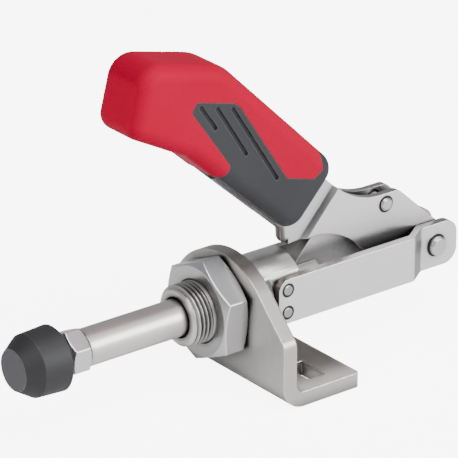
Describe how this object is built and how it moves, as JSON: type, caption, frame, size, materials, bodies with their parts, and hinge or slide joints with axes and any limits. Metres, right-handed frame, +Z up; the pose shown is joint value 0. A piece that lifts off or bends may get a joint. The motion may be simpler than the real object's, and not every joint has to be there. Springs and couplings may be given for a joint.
{
  "type": "push-pull toggle clamp",
  "caption": "Push-pull toggle clamp on an angle foot: a bent lever with a two-tone grip drives a plunger with a rubber cap through a riveted linkage.",
  "frame": {"origin": "underside of the foot, midway between its two bolt slots", "axes": "-X along the plunger towards its rubber cap, +X back along the foot towards the lever's pivot, +Y across the clamp, +Z up"},
  "size_m": [0.1682, 0.065, 0.1133],
  "materials": {
    "steel_sheet": "satin plated",
    "turned_steel": "turned, satin",
    "nut_steel": "plated",
    "rivet_steel": "satin plated",
    "pin_steel": "ground",
    "lever_sheet": "satin plated",
    "rubber": "matte",
    "hard_grip": "satin moulded",
    "soft_grip": "fine matte"
  },
  "bodies": {
    "frame": {"angle_bracket": "steel_sheet", "guide_body": "turned_steel", "mounting_nut": "nut_steel", "near_strap": "steel_sheet", "far_strap": "steel_sheet", "near_upper_rivet": "rivet_steel", "near_lower_rivet": "rivet_steel", "far_upper_rivet": "rivet_steel", "far_lower_rivet": "rivet_steel", "pivot_pin": "pin_steel"},
    "lever_arm": {"lever": "lever_sheet", "handle_grip": "hard_grip", "soft_insert": "soft_grip", "stop_pin": "pin_steel", "toggle_pin": "pin_steel"},
    "toggle_link": {"link": "lever_sheet", "fork_pin_middle": "pin_steel"},
    "plunger": {"plunger_rod": "turned_steel", "fork_pin_ends": "pin_steel", "clamping_screw": "nut_steel", "lock_nut": "nut_steel", "rubber_cap": "rubber"}
  },
  "joints": [
    {"name": "lever_hinge", "type": "hinge", "parent": "frame", "child": "lever_arm", "pos_m": [0.0647, 0, 0.025], "axis": [0, 1, 0], "range_deg": [0, 140]},
    {"name": "link_hinge", "type": "hinge", "parent": "lever_arm", "child": "toggle_link", "pos_m": [0.0477, 0, 0.025], "axis": [0, 1, 0], "range_deg": [-158.2, 0]},
    {"name": "plunger_slide", "type": "slide", "parent": "frame", "child": "plunger", "axis": [1, 0, 0], "range_m": [0, 0.0318]}
  ],
  "couplings": [
    {"joint": "link_hinge", "follows": "lever_hinge", "ratio": -1.1288},
    {"joint": "plunger_slide", "follows": "lever_hinge", "m_per_rad": 0.012997}
  ]
}
